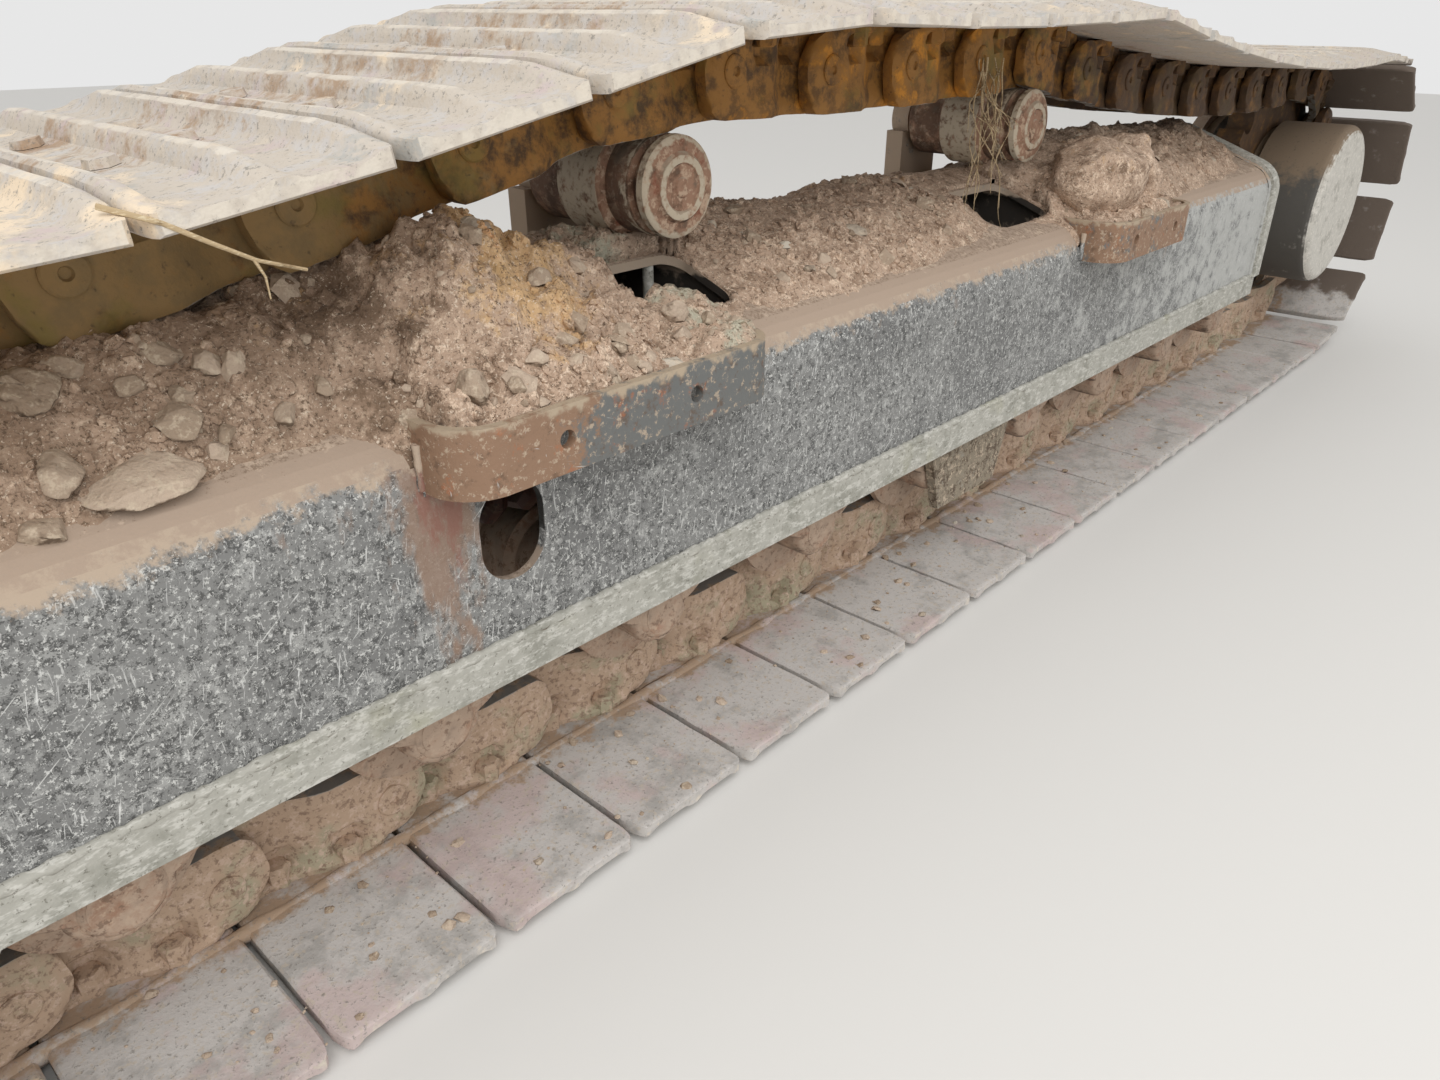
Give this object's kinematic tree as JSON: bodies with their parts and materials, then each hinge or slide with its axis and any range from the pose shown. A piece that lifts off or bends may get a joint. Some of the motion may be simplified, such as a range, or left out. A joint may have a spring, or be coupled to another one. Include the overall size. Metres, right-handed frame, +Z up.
{
  "type": "crawler track unit",
  "caption": "Left track unit of a crawler excavator: side frame, rollers, idler with recoil spring, final drive and sprocket inside a loop of grouser shoes.",
  "frame": {"origin": "on the ground under the middle of the track's box", "axes": "+X along the track to the sprocket, +Y to the machine's middle, +Z up"},
  "size_m": [4.4338, 0.6, 0.9004],
  "materials": {
    "frame_paint": "worn",
    "rail_steel": "worn",
    "bracket_steel": "worn",
    "roller_steel": "rough",
    "bright_steel": "satin",
    "spring_steel": "worn",
    "drive_paint": "worn",
    "shoe_steel": "rough",
    "chain_steel": "rough"
  },
  "bodies": {
    "frame": {"outer_web": "frame_paint", "inner_web": "frame_paint", "outer_roof": "frame_paint", "ridge_plate": "frame_paint", "inner_roof": "frame_paint", "outer_rail": "rail_steel", "inner_rail": "rail_steel", "frame_ribs": "frame_paint", "end_collar": "frame_paint", "drive_mount": "frame_paint", "pad_front": "frame_paint", "pad_rear": "frame_paint", "step_bracket_front": "bracket_steel", "step_bracket_rear": "bracket_steel", "front_guides": "rail_steel", "middle_guides": "rail_steel", "carrier_post_1": "frame_paint", "carrier_post_2": "frame_paint", "carrier_roller_1": "roller_steel", "carrier_roller_2": "roller_steel", "track_roller_1": "roller_steel", "track_roller_2": "roller_steel", "track_roller_3": "roller_steel", "track_roller_4": "roller_steel", "track_roller_5": "roller_steel", "track_roller_6": "roller_steel", "track_roller_7": "roller_steel", "track_roller_8": "roller_steel", "track_roller_9": "roller_steel", "roller_collars": "roller_steel", "idler_shaft": "bright_steel", "idler_blocks": "roller_steel", "idler_slides": "frame_paint", "idler_yoke": "frame_paint", "recoil_spring": "spring_steel", "tension_cylinder": "bright_steel", "sprocket": "chain_steel", "final_drive": "drive_paint", "travel_motor": "drive_paint", "track_shoes": "shoe_steel", "track_links": "chain_steel", "track_bushings": "chain_steel"},
    "idler": {"idler_wheel": "roller_steel"}
  },
  "joints": [
    {"name": "idler_spin", "type": "hinge", "parent": "frame", "child": "idler", "pos_m": [-1.8281, 0, 0.402], "axis": [0, 1, 0], "continuous": true}
  ]
}
